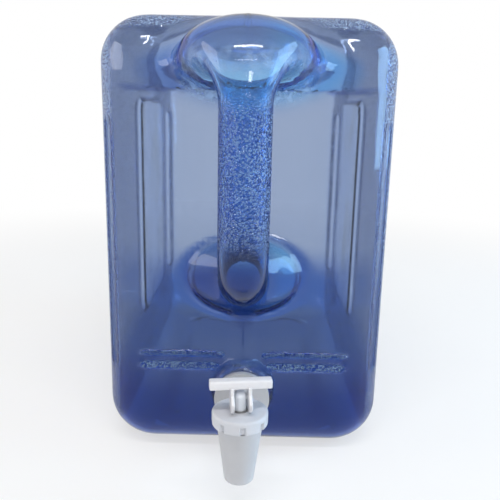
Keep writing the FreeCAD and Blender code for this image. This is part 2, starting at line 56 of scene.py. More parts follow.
# Shader maths: one wrapped socket, on which sums and products add Math nodes.
class Wire:
    def __init__(self, tree, socket=None):
        self.tree = tree
        self.socket = socket

    def make(self, kind, settings=None, inputs=None, out=0):
        node = self.tree.nodes.new(kind)
        for name, value in (settings or {}).items():
            setattr(node, name, value)
        for name, value in (inputs or {}).items():
            target = node.inputs[name]
            if isinstance(value, Wire):
                self.tree.links.new(value.socket, target)
            else:
                target.default_value = value
        return Wire(self.tree, node.outputs[out] if node.outputs else None)

    def sums(self, operation, first, second):
        return self.make("ShaderNodeMath", {"operation": operation}, {0: first, 1: second})

    def __add__(self, other):
        return self.sums("ADD", self, other)

    def __radd__(self, other):
        return self.sums("ADD", other, self)

    def __sub__(self, other):
        return self.sums("SUBTRACT", self, other)

    def __rsub__(self, other):
        return self.sums("SUBTRACT", other, self)

    def __mul__(self, other):
        return self.sums("MULTIPLY", self, other)

    def __rmul__(self, other):
        return self.sums("MULTIPLY", other, self)

    def blend(self, share, first, second):
        inputs = {0: share}
        for socket, shade in ((6, first), (7, second)):  # the colour sockets of a Mix node
            inputs[socket] = shade if isinstance(shade, Wire) else (*shade, 1)
        return self.make("ShaderNodeMix", {"data_type": "RGBA"}, inputs, out=2)

    def limit(self, low, high):
        settings = {"interpolation_type": "SMOOTHSTEP"}
        return self.make("ShaderNodeMapRange", settings, {"Value": self, "From Min": low, "From Max": high})

    def noise(self, place, scale, detail, **more):
        inputs = {"Vector": place, "Scale": scale, "Detail": detail, **more}
        return self.make("ShaderNodeTexNoise", {}, inputs)


def newFinish(name):
    material = bpy.data.materials.new(name)
    material.use_nodes = True
    material.node_tree.nodes.clear()
    return material, Wire(material.node_tree)


def closeFinish(wire, surface, volume=None):
    inputs = {"Surface": surface}
    if volume:
        inputs["Volume"] = volume
    wire.make("ShaderNodeOutputMaterial", {}, inputs)


def link(piece, material, body, slot, *nodes):
    piece.data.materials.clear()
    piece.data.materials.append(material)
    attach(piece, body)
    if nodes:
        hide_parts(*nodes)


# Bottle: a distance formula in millimetres, which gives the skin and the hollow.
bottle = {
    "width": 156, "depth": 244, "height": 235.5, "corner": 28, "rim": 24, "wall": 1.8, "front": -90.4,
    "panelStart": 112, "panelLength": 98, "panelLow": 44, "panelHigh": 193, "panelDepth": 3,
    "panelRound": 9, "panelSlope": 40, "panelSoft": 2.5,
    "fluteRadius": 4.5, "fluteDepth": 1.6, "fluteAngle": 33, "fluteLow": 50, "fluteHigh": 180,
    "fluteSoft": 1.2,
    "grooveRadius": 6, "grooveDepth": 2.4, "grooveLevel": 55.5, "grooveStart": 17, "grooveEnd": 53,
    "grooveSoft": 0.6,
    "baseRise": 3, "baseRim": 34, "baseRound": 8.5, "baseSoft": 5,
    "gripRadius": 11.75, "gripOut": 42, "gripBend": 20, "gripHigh": 218.8, "gripLow": 108,
    "rootHigh": {"halfWidth": 33, "halfHeight": 17.5, "shift": -5.5, "spread": (-8, 40)},
    "rootLow": {"halfWidth": 31, "halfHeight": 21.5, "shift": 4, "spread": (33, 54)},
    "rootSoft": (5, 26, 9), "rootSoftLevels": (130, 185), "rootCrown": (206, 226), "rootSink": 12,
    "bossRadius": 16.5, "bossReach": 10, "bossDraft": 2, "bossRound": 4, "bossLevel": 40.5, "bossSoft": 4,
    "bossHole": 8.4, "bossCut": 10.5, "bossCutDepth": 1,
    "ridgeRadius": 8, "ridgeSink": 4, "ridgeLow": 46, "ridgeHigh": 100, "ridgeSoft": 4,
    "seamRise": 0.18, "seamWidth": 0.6,
    "neckBack": 182, "neckRadius": 22.6, "neckBore": 19.6, "neckTop": 13, "neckFoot": 29, "neckEdge": 0.8,
    "neckRows": 0.35, "neckCut": 33, "neckCutDepth": 9, "boreEdge": 1,
    "beadRadius": 26, "beadTop": 2, "beadEdge": 0.5, "beadFillet": 0.4,
    "ringCount": 96,
}
bottle["middle"] = bottle["front"] + bottle["depth"] / 2
bottle["neckY"] = bottle["front"] + bottle["neckBack"]
bottle["bossFace"] = bottle["front"] - bottle["bossReach"]


def softMin(first, second, soft):
    share = np.clip(0.5 + 0.5 * (second - first) / soft, 0, 1)
    return second * (1 - share) + first * share - soft * share * (1 - share)


def softMax(first, second, soft):
    return -softMin(-first, -second, soft)


def ease(value, low, high):
    # nothing up to low, one from high on
    share = np.clip((value - low) / (high - low), 0, 1)
    return share * share * (3 - 2 * share)


def wane(value, low, high):
    # one up to low, nothing from high on
    return ease(-value, -high, -low)


def corner(first, second, radius):
    # two distances met in a round edge
    first, second = first + radius, second + radius
    outside = np.hypot(np.maximum(first, 0), np.maximum(second, 0))
    return outside + np.minimum(np.maximum(first, second), 0) - radius


def roundRect(across, along, halfAcross, halfAlong, radius):
    return corner(np.abs(across) - halfAcross, np.abs(along) - halfAlong, radius)


def beyond(value, low, high):
    return np.maximum(np.maximum(low - value, value - high), 0)


def elbowForm(x, y, rise, root):
    # a tube that comes up, turns back towards the wall and spreads into an oval root there
    size = bottle
    bend, tube = size["gripBend"], size["gripRadius"]
    out = size["front"] - size["gripOut"] + bend - y
    ahead, above = np.maximum(out, 0), np.maximum(rise, 0)
    across = np.hypot(ahead, above) + np.minimum(np.maximum(out, rise), 0) - bend
    along = bend * np.arctan2(above, ahead) + np.minimum(rise, 0) - np.minimum(out, 0)
    share = ease(along, *root["spread"])
    wide = tube + share * (root["halfWidth"] - tube)
    high = tube + share * (root["halfHeight"] - tube)
    ring = np.hypot(x / wide, (across - share * root["shift"]) / high)
    return np.maximum((ring - 1) * np.minimum(wide, high), y - size["front"] - size["rootSink"])


def handleForm(x, y, z):
    size = bottle
    upper = elbowForm(x, y, z - (size["gripHigh"] - size["gripBend"]), size["rootHigh"])
    lower = elbowForm(x, y, size["gripLow"] + size["gripBend"] - z, size["rootLow"])
    return np.where(z > (size["gripHigh"] + size["gripLow"]) / 2, upper, lower)


def panelWindow(y, z):
    # how far a point of the side wall lies outside the sunk panel
    size = bottle
    middleY = size["front"] + size["panelStart"] + size["panelLength"] / 2
    middleZ = (size["panelLow"] + size["panelHigh"]) / 2
    halfHigh = (size["panelHigh"] - size["panelLow"]) / 2
    return roundRect(y - middleY, z - middleZ, size["panelLength"] / 2, halfHigh, size["panelRound"])


def pressedForms(x, y, z):
    # everything that is pressed into the walls, each with its own softness
    size = bottle
    halfWidth, halfDepth = size["width"] / 2, size["depth"] / 2
    side = np.abs(x)
    sunk = side - (halfWidth - size["panelDepth"])
    slope = math.radians(size["panelSlope"])
    window = (panelWindow(y, z) - sunk * math.tan(slope)) * math.cos(slope)
    yield np.maximum(-sunk, window), size["panelSoft"]
    lift = size["corner"] + size["fluteRadius"] - size["fluteDepth"]
    turn = math.radians(size["fluteAngle"])
    fluteX = halfWidth - size["corner"] + lift * math.cos(turn)
    fluteY = halfDepth - size["corner"] + lift * math.sin(turn)
    flute = np.sqrt((side - fluteX) ** 2 + (np.abs(y - size["middle"]) - fluteY) ** 2
                    + beyond(z, size["fluteLow"], size["fluteHigh"]) ** 2) - size["fluteRadius"]
    yield flute, size["fluteSoft"]
    grooveY = size["front"] - (size["grooveRadius"] - size["grooveDepth"])
    groove = np.sqrt(beyond(side, size["grooveStart"], size["grooveEnd"]) ** 2 + (y - grooveY) ** 2
                     + (z - size["grooveLevel"]) ** 2) - size["grooveRadius"]
    yield groove, size["grooveSoft"]
    rim = size["baseRim"]
    base = roundRect(x, y - size["middle"], halfWidth - rim, halfDepth - rim, size["baseRound"])
    sides = (base - (size["baseRise"] - z)) * math.sqrt(0.5)  # they slope at 45 degrees
    yield np.maximum(z - size["baseRise"], sides), size["baseSoft"]


def skinForm(x, y, z):
    size = bottle
    plan = roundRect(x, y - size["middle"], size["width"] / 2, size["depth"] / 2, size["corner"])
    form = corner(plan, np.abs(z - size["height"] / 2) - size["height"] / 2, size["rim"])
    for pressed, soft in pressedForms(x, y, z):
        form = softMax(form, -pressed, soft)
    ridge = np.hypot(x, y - size["front"] - size["ridgeSink"]) - size["ridgeRadius"]
    ridge = np.maximum(ridge, np.maximum(size["ridgeLow"] - z, z - size["ridgeHigh"]))
    form = softMin(form, ridge, size["ridgeSoft"])
    face = size["bossFace"]
    bossRadius = size["bossRadius"] + size["bossDraft"] * (y - face) / (size["bossReach"] + size["rim"])
    boss = corner(np.hypot(x, z - size["bossLevel"]) - bossRadius, face - y, size["bossRound"])
    boss = np.maximum(boss, y - size["front"] - size["rim"])
    form = softMin(form, boss, size["bossSoft"])
    # the grip's fillet is small at its foot, wide under the upper root and smaller again at the crown
    low, wide, crown = size["rootSoft"]
    soft = low + (wide - low) * ease(z, *size["rootSoftLevels"])
    soft = soft + (crown - wide) * ease(z, *size["rootCrown"])
    return softMin(form, handleForm(x, y, z), soft)


def seamedForm(x, y, z):
    return skinForm(x, y, z) - bottle["seamRise"] * np.exp(-(x / bottle["seamWidth"]) ** 2)


def hollowForm(x, y, z):
    return skinForm(x, y, z) + bottle["wall"]


# Grid lines that the formula is read on: each run is a stop and the size of its steps, finer at detail.
grid = {
    "seam": ((0.5, 0.5), (1.1, 0.6)),
    "across": ((40, 1.7), (57, 2.3), (81, 1.9)),
    "alongStart": -148, "along": ((-60, 1.8), (16, 5), (28, 1.4), (113, 6), (127, 1.5), (157, 1.9)),
    "upwardStart": -3, "upward": ((28, 1.8), (38, 2.5), (70, 1.2), (82, 2.4), (131, 1.8), (176, 5),
                                  (199, 1.5), (239, 1.8)),
    "skinCoarse": 1, "hollowCoarse": 1.6,
}


def steps(start, *runs):
    places = [start]
    for stop, size in runs:
        count = max(1, round((stop - places[-1]) / size))
        places += list(np.linspace(places[-1], stop, count + 1)[1:])
    return np.array(places)


def gridLines(coarse):
    words = ("across", "along", "upward")
    runs = {word: [(stop, size * coarse) for stop, size in grid[word]] for word in words}
    half = steps(0, *grid["seam"], *runs["across"])
    across = np.concatenate([-half[:0:-1], half])
    return across, steps(grid["alongStart"], *runs["along"]), steps(grid["upwardStart"], *runs["upward"])


def surfaceOf(form, lines):
    # one point in every cell that the surface crosses, and one quad round every edge that it cuts
    values = form(*np.meshgrid(*lines, indexing="ij", sparse=True))
    inside = values < 0
    shape = tuple(len(line) - 1 for line in lines)
    total = np.zeros((*shape, 3))
    count = np.zeros(shape)
    crossings = []
    for axis in range(3):
        others = [other for other in range(3) if other != axis]
        low = np.take(inside, range(shape[axis]), axis)
        high = np.take(inside, range(1, shape[axis] + 1), axis)
        spot = np.stack(np.nonzero(low != high), 1)
        nextSpot = spot.copy()
        nextSpot[:, axis] += 1
        first, second = values[tuple(spot.T)], values[tuple(nextSpot.T)]
        place = np.stack([lines[i][spot[:, i]] for i in range(3)], 1)
        gap = lines[axis][nextSpot[:, axis]] - lines[axis][spot[:, axis]]
        place[:, axis] += first / (first - second) * gap
        cells = []
        for shiftU, shiftV in ((0, 0), (-1, 0), (-1, -1), (0, -1)):
            cell = spot.copy()
            cell[:, others[0]] += shiftU
            cell[:, others[1]] += shiftV
            cells.append(cell)
            np.add.at(total, tuple(cell.T), place)
            np.add.at(count, tuple(cell.T), 1)
        turned = (first < 0) == (axis != 1)
        crossings.append((cells, turned))
    used = count > 0
    number = np.full(shape, -1)
    number[used] = np.arange(used.sum())
    points = total[used] / count[used][:, None]
    faces = []
    for cells, turned in crossings:
        quads = np.stack([number[tuple(cell.T)] for cell in cells], 1)
        quads[~turned] = quads[~turned, ::-1]
        faces.append(quads)
    return points, np.concatenate(faces)


def slopeOf(form, points, step=0.02):
    parts = []
    for axis in range(3):
        shift = np.zeros(3)
        shift[axis] = step
        parts.append((form(*(points + shift).T) - form(*(points - shift).T)) / (2 * step))
    return np.stack(parts, 1)


def settled(form, points, rounds=5, leastSlope=0.1, longestMove=1.5):
    # moves the points onto the surface and gives its normals there
    for _ in range(rounds):
        slope = slopeOf(form, points)
        steepness = np.maximum((slope ** 2).sum(1), leastSlope)
        move = -form(*points.T)[:, None] * slope / steepness[:, None]
        length = np.linalg.norm(move, axis=1)[:, None]
        points = points + move * np.minimum(1, longestMove / np.maximum(length, tiny))
    slope = slopeOf(form, points)
    return points, slope / np.linalg.norm(slope, axis=1)[:, None]


class Shell:
    # gathers points, normals, marks and faces of one mesh
    def __init__(self):
        self.points, self.normals, self.faces = [], [], []
        self.marks = {"pebble": [], "tube": [], "root": [], "crease": []}

    def add(self, points, normals=None, **marks):
        start = len(self.points)
        for name, values in self.marks.items():
            values += list(marks.get(name, np.zeros(len(points))))
        if normals is None:
            normals = np.zeros((len(points), 3))  # Blender works these out
        self.points += [tuple(point) for point in points]
        self.normals += [tuple(normal) for normal in normals]
        return np.arange(start, start + len(points))

    def stitch(self, outer, outerTurn, inner, innerTurn, flip):
        # triangles between two rings that are both sorted by their turn
        i = j = 0
        while i < len(outer) or j < len(inner):
            nextOuter = outerTurn[i + 1] if i + 1 < len(outer) else fullTurn + outerTurn[0]
            nextInner = innerTurn[j + 1] if j + 1 < len(inner) else fullTurn + innerTurn[0]
            outerHere, innerHere = outer[i % len(outer)], inner[j % len(inner)]
            if j >= len(inner) or (i < len(outer) and nextOuter <= nextInner):
                i += 1
                face = (outerHere, outer[i % len(outer)], innerHere)
            else:
                j += 1
                face = (outerHere, inner[j % len(inner)], innerHere)
            self.faces.append(face[::-1] if flip else face)

    def band(self, first, second, flip):
        for i in range(len(first)):
            after = (i + 1) % len(first)
            face = (first[i], first[after], second[after], second[i])
            self.faces.append(face[::-1] if flip else face)

    def mesh(self, name):
        mesh = bpy.data.meshes.new(name)
        points = [Vector(point) * mm for point in self.points]
        mesh.from_pydata(points, [], [tuple(map(int, face)) for face in self.faces])
        mesh.polygons.foreach_set("use_smooth", np.ones(len(mesh.polygons), bool))
        mesh.update()
        for mark, values in self.marks.items():
            attribute = mesh.attributes.new(mark, "FLOAT", "POINT")
            attribute.data.foreach_set("value", np.array(values, np.float32))
        mesh.normals_split_custom_set_from_vertices(self.normals)
        return mesh


# Marks on the shell's points, which its material reads: each pair is the stretch over which a mark fades.
patches = {
    "bendStep": 1.2, "bend": (0.11, 0.42), "bendFoot": (4, 12), "bendOffGroove": (9, 12),
    "bendOffHandle": (4, 12), "bendOnHandle": 0.35,
    # the sides of the grooves get a mark far above one, which shows as pale lines: a painted highlight
    "grooveFloor": (1.8, 2.8), "grooveSkin": 1.5, "grooveNear": 2.2, "grooveInner": (9, 13),
    "grooveOuter": (53, 57), "grooveSide": 3.6, "grooveSideWidth": 1.1, "grooveHighlight": 14,
    "tubeOut": (10, 24), "tubeFoot": (90, 112), "tubeHead": (198, 218),
    "rootOut": (0.1, 4), "rootFoot": (72, 84),
    "edgeSlope": (0.66, 0.76), "panelClear": (1, 5), "handleClear": (5, 11),
    "gripOut": (18, 24), "gripFoot": (124, 137), "gripHead": (184, 200),
}


def grooveReach(points):
    # one along the two front grooves
    side = np.abs(points[:, 0])
    near = np.abs(points[:, 1] - bottle["front"] - patches["grooveSkin"]) < patches["grooveNear"]
    return near * wane(side, *patches["grooveOuter"]) * ease(side, *patches["grooveInner"])


def creaseShadeMark(form, points):
    # one at tight edges and along the floor of the grooves, nothing on flat walls and wide rounds; the
    # material darkens where it is one, a painted shade
    step = patches["bendStep"]
    bend = -6 * form(*points.T)  # against the six points round about
    for axis in range(3):
        shift = np.zeros(3)
        shift[axis] = step
        bend = bend + form(*(points + shift).T) + form(*(points - shift).T)
    away = np.abs(points[:, 2] - bottle["grooveLevel"])
    least = patches["bendOnHandle"]
    handle = least + (1 - least) * ease(handleForm(*points.T), *patches["bendOffHandle"])
    mark = ease(np.abs(bend) / step ** 2, *patches["bend"]) * ease(away, *patches["bendOffGroove"])
    mark = mark * handle * ease(points[:, 2], *patches["bendFoot"])
    return np.maximum(mark, wane(away, *patches["grooveFloor"]) * grooveReach(points))


def tubeMark(points):
    # one on the tube of the handle, fading out where it spreads into its roots
    out, level = bottle["front"] - points[:, 1], points[:, 2]
    mark = ease(out, *patches["tubeOut"]) * ease(level, *patches["tubeFoot"])
    return mark * wane(level, *patches["tubeHead"])


def rootMark(points):
    # one on all that stands out from the front above the boss
    out, level = bottle["front"] - points[:, 1], points[:, 2]
    return ease(out, *patches["rootOut"]) * ease(level, *patches["rootFoot"])


def stippleAndHighlightMark(points, normals):
    # where the mould was stippled: round the edges, outside the panels, on the grip and in the grooves;
    # along both sides of each groove it is raised far above one, which gives pale frosted lines there, a
    # painted highlight
    x, y, z = points.T
    edge = ease(np.maximum(np.abs(normals[:, 0]), normals[:, 2]), *patches["edgeSlope"])
    edge = edge * ease(panelWindow(y, z), *patches["panelClear"])
    edge = edge * ease(handleForm(x, y, z), *patches["handleClear"])
    grip = ease(z, *patches["gripFoot"]) * wane(z, *patches["gripHead"])
    grip = grip * ease(bottle["front"] - y, *patches["gripOut"])
    away = np.abs(z - bottle["grooveLevel"]) - patches["grooveSide"]
    groove = patches["grooveHighlight"] * np.exp(-(away / patches["grooveSideWidth"]) ** 2) * grooveReach(points)
    return np.maximum(np.maximum(edge, grip), groove)


def holed(faces, inHole):
    # drops the faces whose corners all lie in the hole; gives the faces kept and the ring of points round it
    gone = inHole[faces].all(1)
    return faces[~gone], np.intersect1d(faces[gone], faces[~gone])


def addSurface(shell, word, form, coarse, sign):
    # adds the skin, with sign 1, or the hollow, with sign -1, which faces inwards
    # both are open at the neck and the boss, and the two open rings are given back
    size = bottle
    points, faces = surfaceOf(form, gridLines(coarse))
    points, normals = settled(form, points)
    x, y, z = points.T
    face = size["bossFace"] + (0 if sign > 0 else size["wall"])
    neckAway, bossAway = np.hypot(x, y - size["neckY"]), np.hypot(x, z - size["bossLevel"])
    neckHole = (neckAway < size["neckCut"]) & (z > size["height"] - size["neckCutDepth"])
    bossHole = (bossAway < size["bossCut"]) & (y < face + size["bossCutDepth"])
    faces, neckRing = holed(faces, neckHole)
    faces, bossRing = holed(faces, bossHole)
    kept = np.unique(faces)
    marks = {"tube": tubeMark(points[kept]), "root": rootMark(points[kept])}
    marks["crease"] = creaseShadeMark(form, points[kept])
    if sign > 0:
        marks["pebble"] = stippleAndHighlightMark(points[kept], normals[kept])
    renumber = np.full(len(points), -1)
    renumber[kept] = shell.add(points[kept], sign * normals[kept], **marks)
    shell.faces += [tuple(quad) for quad in renumber[faces][:, ::sign]]
    rings = []
    neckTurns, bossTurns = np.arctan2(y - size["neckY"], x), np.arctan2(z - size["bossLevel"], x)
    for ring, turns in ((neckRing, neckTurns), (bossRing, bossTurns)):
        order = ring[np.argsort(turns[ring])]
        rings.append((renumber[order], turns[order]))
    print("bottle", word, len(points), "points", len(faces), "faces")
    return rings


def neckProfile():
    # from the foot of the neck over the rim and down its bore
    size = bottle
    foot, bead, neck, bore = (size[word] for word in ("neckFoot", "beadRadius", "neckRadius", "neckBore"))
    edge, beadEdge, fillet, boreEdge = (
        size[word] for word in ("neckEdge", "beadEdge", "beadFillet", "boreEdge"))
    top, under = size["height"], size["height"] - size["wall"]
    beadTop, rim = top + size["beadTop"], top + size["neckTop"]
    profile = [(foot, top), (bead + edge, top), (bead, top + edge), (bead, beadTop - beadEdge)]
    profile += [(bead - beadEdge, beadTop), (neck + fillet, beadTop)]
    profile += [(neck, level) for level in np.arange(beadTop + fillet, rim - edge, size["neckRows"])]
    profile += [(neck, rim - edge), (neck - edge, rim), (bore + edge, rim), (bore, rim - edge)]
    return profile + [(bore, under + boreEdge), (bore + boreEdge, under), (foot, under)]


thread = {"rise": 1.2, "pitch": 4, "width": 0.75, "start": 6.5, "laps": 3, "overTop": 3.5, "underRim": 1.5}
ringTurns = fullTurn * np.arange(bottle["ringCount"]) / bottle["ringCount"] - math.pi


def threaded(radii, level):
    # adds one raised helix, cut off near the bead and the rim
    low = bottle["height"] + thread["overTop"]
    high = bottle["height"] + bottle["neckTop"] - thread["underRim"]
    share = ringTurns / fullTurn  # from minus a half to a half
    along = (level - bottle["height"] - thread["start"]) / thread["pitch"] + 0.5 - share
    for lap in range(thread["laps"]):
        crest = np.exp(-(((along - lap) * thread["pitch"]) / thread["width"]) ** 2)
        radii = radii + thread["rise"] * crest * (low < level < high)
    return radii


def buildShell():
    size = bottle
    shell = Shell()
    skinNeck, skinBoss = addSurface(shell, "skin", seamedForm, grid["skinCoarse"], 1)
    hollowNeck, hollowBoss = addSurface(shell, "hollow", hollowForm, grid["hollowCoarse"], -1)
    across, upward = np.cos(ringTurns), np.sin(ringTurns)
    flat = np.ones(len(ringTurns))
    rings = []
    for radius, level in neckProfile():
        radii = radius * flat
        if radius == size["neckRadius"]:
            radii = threaded(radii, level)
        rings.append(shell.add(np.stack([radii * across, size["neckY"] + radii * upward, level * flat], 1)))
    for first, second in zip(rings, rings[1:]):
        shell.band(first, second, False)
    shell.stitch(*skinNeck, rings[0], ringTurns, False)
    shell.stitch(*hollowNeck, rings[-1], ringTurns, True)
    # hole for the faucet's shank
    edges = []
    hole = size["bossHole"]
    for face in (size["bossFace"], size["bossFace"] + size["wall"]):
        edges.append(shell.add(np.stack([hole * across, face * flat, size["bossLevel"] + hole * upward], 1)))
    shell.stitch(*skinBoss, edges[0], ringTurns, True)
    shell.stitch(*hollowBoss, edges[1], ringTurns, False)
    shell.band(*edges, True)
    return shell.mesh("bottleBlown")


# Blue plastic: clear and tinted, pebbled at the edges and on the grip, with painted shade and painted light
# in its tint; places in metres.
bluePlastic = {
    # painted shade: the body's tint grows darker towards the bottom and is darkest on the base
    "bodyTint": (0.80, 0.77, 0.75), "lowShadeTint": (0.085, 0.22, 0.54), "fade": (0.03, 0.068),
    "baseShadeTint": (0.148, 0.24, 0.43), "baseFade": (0.004, 0.012),
    # painted shade: the foot of the tube and the lower root are tinted darker than their upper parts
    "tubeTint": (0.58, 0.94, 1.0), "tubeFootShade": (0.07, 0.15, 0.32), "tubeFade": (0.105, 0.15),
    "domeTint": (0.56, 0.66, 0.81), "rootFootShade": (0.22, 0.31, 0.50), "rootFade": (0.19, 0.225),
    # painted light: the right side of the roots is tinted a lighter cyan, for window light falling from that
    # side
    "paintedWindowTint": (0.44, 0.88, 1.0), "windowLitSide": (0.002, 0.022), "windowTintShare": 0.7,
    # painted shade: a darker blue along tight edges and groove floors
    "creaseShadeTint": (0.22, 0.30, 0.55), "creaseShadeShare": 0.75, "rootCreaseShade": 0.6,
    "grain": 980.0, "grainNoise": (1372.0, 1.0), "noiseShare": 0.3, "grainDepth": 0.0006,
    "peak": (0.42, 0.74),
    # painted shade: the hollows of the pebbles are tinted darker
    "pebbleHollowShade": (0.16, 0.30, 0.72), "pebbleHollowShare": 0.45, "tubeHollowShade": 0.36,
    "paleGrain": (0.46, 0.68, 0.97), "paleRough": 0.4, "paleShare": 0.6, "tubePale": 0.33, "windowLitPale": 0.22,
    # painted shade: the pale frost is thinner towards the bottom
    "litFade": (0.03, 0.15), "litLeast": 0.25,
    "smooth": 0.04, "pebbled": 0.12, "smudge": (110.0, 3.0), "smudgeFrom": (0.4, 0.8), "smudgeRough": 0.05,
    "ripple": (22.0, 1.0), "rippleDepth": 0.0016, "rippleStrength": 0.35,
    "underLow": (0.184, 0.194), "underHigh": (0.206, 0.220), "underReach": (0.024, 0.036),
    "underLeast": 0.2, "streak": (260.0, 2.0), "streakFrom": (0.35, 0.7), "streakShare": 0.4,
    "absorb": (0.25, 0.55, 0.95), "density": 300, "ior": 1.42,
}


def makeBluePlastic():
    look = bluePlastic
    material, wire = newFinish("bluePlastic")
    place = wire.make("ShaderNodeTexCoord", out="Object")
    aside, height = (wire.make("ShaderNodeSeparateXYZ", {}, {0: place}, out=word) for word in "XZ")
    pebble, tube, root, crease = (wire.make("ShaderNodeAttribute", {"attribute_name": word}, out="Fac")
                                  for word in ("pebble", "tube", "root", "crease"))
    # painted light: a lighter cyan tint on the right side of the roots, for the window on that side
    windowLitSide = aside.limit(*look["windowLitSide"])
    # painted shade: darker towards the bottom, darkest on the base
    tint = wire.blend(height.limit(*look["baseFade"]), look["baseShadeTint"], look["lowShadeTint"])
    tint = wire.blend(height.limit(*look["fade"]), tint, look["bodyTint"])
    # painted shade: the lower root and the foot of the tube are darker
    rootTint = wire.blend(height.limit(*look["rootFade"]), look["rootFootShade"], look["domeTint"])
    tubeTint = wire.blend(height.limit(*look["tubeFade"]), look["tubeFootShade"], look["tubeTint"])
    tint = wire.blend(tube, wire.blend(root, tint, rootTint), tubeTint)
    tint = wire.blend(root * windowLitSide * look["windowTintShare"], tint, look["paintedWindowTint"])
    # painted shade: darker blue along tight edges and the floors of the grooves
    tint = wire.blend(crease * (look["creaseShadeShare"] - root * look["rootCreaseShade"]), tint, look["creaseShadeTint"])
    # pebbles: their hollows are darker blue, a painted shade, and their peaks pale and dull
    cells = wire.make("ShaderNodeTexVoronoi", {}, {"Vector": place, "Scale": look["grain"]}, out="Distance")
    relief = 1 - cells + (wire.noise(place, *look["grainNoise"]) - 0.5) * look["noiseShare"]
    peak = relief.limit(*look["peak"])
    dark = look["pebbleHollowShare"] + tube * look["tubeHollowShade"]
    tint = wire.blend(pebble * (1 - peak) * dark, tint, look["pebbleHollowShade"])
    smudge = wire.noise(place, *look["smudge"]).limit(*look["smudgeFrom"])
    rough = look["smooth"] + smudge * look["smudgeRough"] + pebble * (look["pebbled"] - look["smooth"])
    wave = wire.make("ShaderNodeBump", {}, {
        "Height": wire.noise(place, *look["ripple"]), "Strength": look["rippleStrength"],
        "Distance": look["rippleDepth"]})
    bump = wire.make("ShaderNodeBump", {}, {
        "Height": relief * pebble, "Strength": 1.0, "Distance": look["grainDepth"], "Normal": wave})
    clear = wire.make("ShaderNodeBsdfPrincipled", {}, {
        "Base Color": tint, "Roughness": rough, "Normal": bump, "Transmission Weight": 1.0,
        "IOR": look["ior"]})
    pale = wire.make("ShaderNodeBsdfPrincipled", {}, {
        "Base Color": (*look["paleGrain"], 1), "Roughness": look["paleRough"], "Normal": bump})
    # painted shade: the pale frost thins out towards the bottom, so the lower part shows a deeper blue
    lit = look["litLeast"] + height.limit(*look["litFade"]) * (1 - look["litLeast"])
    # painted light: more pale frost on the right side of the tube, for the window on that side
    less = look["tubePale"] - windowLitSide * look["windowLitPale"]
    frost = pebble * peak * (look["paleShare"] - tube * less) * lit
    # dull streaks under the upper root
    under = root * (1 - tube) * height.limit(*look["underLow"]) * (1 - height.limit(*look["underHigh"]))
    under = under * (1 - (aside * aside).limit(*(reach ** 2 for reach in look["underReach"])))
    streaks = wire.noise(place, *look["streak"]).limit(*look["streakFrom"])
    frost = frost + under * (look["underLeast"] + streaks * look["streakShare"])
    surface = wire.make("ShaderNodeMixShader", {}, {0: frost, 1: clear, 2: pale})
    absorb = {"Color": (*look["absorb"], 1), "Density": look["density"]}
    closeFinish(wire, surface, wire.make("ShaderNodeVolumeAbsorption", {}, absorb))
    return material


shellPiece = bpy.data.objects.new("bottleBlown", buildShell())
scene.collection.objects.link(shellPiece)
link(shellPiece, makeBluePlastic(), "bottle", "blue_bottle", "bottle_shell", "hand_grip", "filler_neck")
print("bottle made")

# Finishes of the faucet and the cap. The faucet body and the bonnet are a darker grey than the lever and the
# cap: painted shade.
finishes = {
    # painted shade: these two whites are set greyer, for sides that stand in the shade
    "white_faucet": {"shade": (0.54, 0.54, 0.56), "rough": 0.36, "peel": 0.00004},
    "white_bonnet": {"shade": (0.62, 0.63, 0.67), "rough": 0.34, "peel": 0.00004},
    "white_lever": {"shade": (0.77, 0.76, 0.78), "rough": 0.34, "peel": 0.00004},
    "white_pin": {"shade": (0.72, 0.72, 0.74), "rough": 0.45, "peel": 0.00003},
    "white_cap": {"shade": (0.74, 0.75, 0.77), "rough": 0.38, "peel": 0.00005},
    "liner_foam": {"shade": (0.76, 0.75, 0.71), "rough": 0.85, "peel": 0.0002},
    "washer_rubber": {"shade": (0.64, 0.63, 0.65), "rough": 0.62, "peel": 0.00008},
    "cup_rubber": {"shade": (0.16, 0.16, 0.17), "rough": 0.55, "peel": 0.00006},
    "clear_stem": {"shade": (0.84, 0.89, 0.96), "rough": 0.22, "peel": 0.00003, "clear": 0.12},
    "spring_steel": {"shade": (0.58, 0.58, 0.60), "rough": 0.30, "peel": 0.00002, "metal": 1.0},
}
wear = {"cloud": (70.0, 3.0), "cloudFrom": (0.3, 0.7), "dull": 0.93,
        "fine": (1600.0, 2.0), "fineRough": 0.08, "relief": 0.6, "ior": 1.46,
        "handled": (240.0, 4.0), "handledMix": 0.7, "handledRough": 0.18, "handledRelief": 0.5}


def makeFinish(name):
    look = finishes[name]
    material, wire = newFinish(name)
    place = wire.make("ShaderNodeTexCoord", out="Object")
    cloud = wire.noise(place, *wear["cloud"]).limit(*wear["cloudFrom"])
    fine = wire.noise(place, *wear["fine"])
    handled = wire.noise(place, *wear["handled"], Roughness=wear["handledMix"])
    colour = wire.blend(cloud, tuple(part * wear["dull"] for part in look["shade"]), look["shade"])
    rough = look["rough"] + (handled - 0.5) * wear["handledRough"] + (fine - 0.5) * wear["fineRough"]
    bump = wire.make("ShaderNodeBump", {}, {
        "Height": fine + handled * wear["handledRelief"], "Strength": wear["relief"],
        "Distance": look["peel"]})
    closeFinish(wire, wire.make("ShaderNodeBsdfPrincipled", {}, {
        "Base Color": colour, "Roughness": rough, "Normal": bump, "IOR": wear["ior"],
        "Metallic": look.get("metal", 0.0), "Transmission Weight": look.get("clear", 0.0)}))
    return material


slotOf = {row["node"]: row["material_slot"] for row in frame["record"]["subparts"]}
finish = {name: makeFinish(name) for name in finishes}
for name, node in frame["nodes"].items():
    if slotOf[name] in finish:
        node.data.materials.clear()
        node.data.materials.append(finish[slotOf[name]])
print("finishes made")


